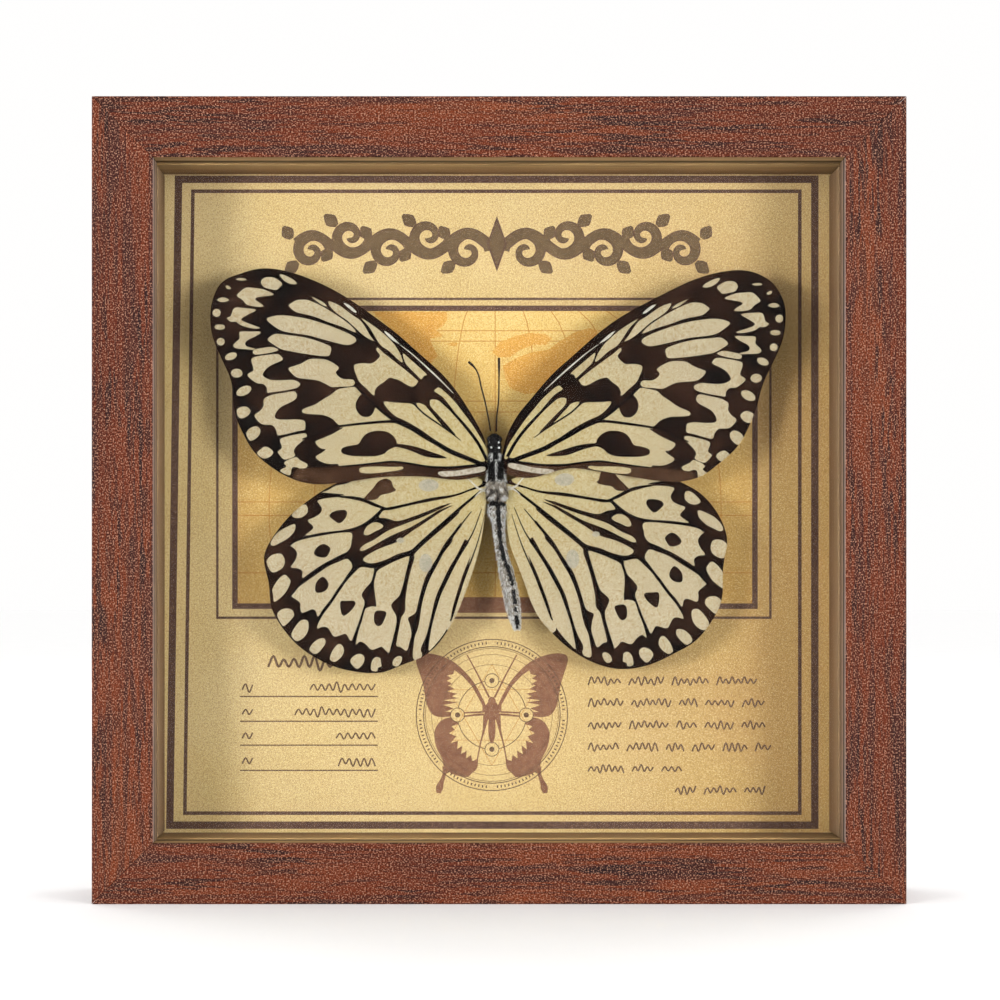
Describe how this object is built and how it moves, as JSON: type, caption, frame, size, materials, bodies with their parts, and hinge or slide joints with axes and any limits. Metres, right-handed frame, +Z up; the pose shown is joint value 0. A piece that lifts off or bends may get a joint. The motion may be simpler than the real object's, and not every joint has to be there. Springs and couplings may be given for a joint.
{
  "type": "framed butterfly specimen",
  "caption": "Square shadow-box frame with a wood-grain moulding, glass and a printed gold card, holding one spread black-and-cream butterfly.",
  "frame": {"origin": "centre of the frame's underside", "axes": "+Z up, glass faces -Y, +X to the right when seen from the front"},
  "size_m": [0.18, 0.03, 0.1785],
  "materials": {
    "moulding": "dark reddish wood grain, satin",
    "pane": "clear",
    "spacer_strip": "gold-brown, satin",
    "printed_card": "pearly gold card with brown print",
    "fibreboard": "bare brown fibreboard",
    "steel": "zinc-plated",
    "foam": "white foam",
    "chitin": "black with white hair dots",
    "body_fur": "grey-white down",
    "wing": "cream scales with black-brown veins and spots"
  },
  "bodies": {
    "root": {"rail_top": "moulding", "rail_bottom": "moulding", "rail_left": "moulding", "rail_right": "moulding", "glass_pane": "pane", "spacer_top": "spacer_strip", "spacer_bottom": "spacer_strip", "spacer_left": "spacer_strip", "spacer_right": "spacer_strip", "backing_card": "printed_card", "backing_board": "fibreboard", "point_top_1": "steel", "point_top_2": "steel", "point_bottom_1": "steel", "point_bottom_2": "steel", "point_left_1": "steel", "point_left_2": "steel", "point_right_1": "steel", "point_right_2": "steel", "sawtooth_hanger": "steel", "hanger_rivet_left": "steel", "hanger_rivet_right": "steel", "mounting_pad": "foam", "head": "chitin", "thorax": "chitin", "abdomen": "body_fur", "antenna_left": "chitin", "antenna_right": "chitin", "forewing_left": "wing", "forewing_right": "wing", "hindwing_left": "wing", "hindwing_right": "wing"}
  },
  "joints": []
}
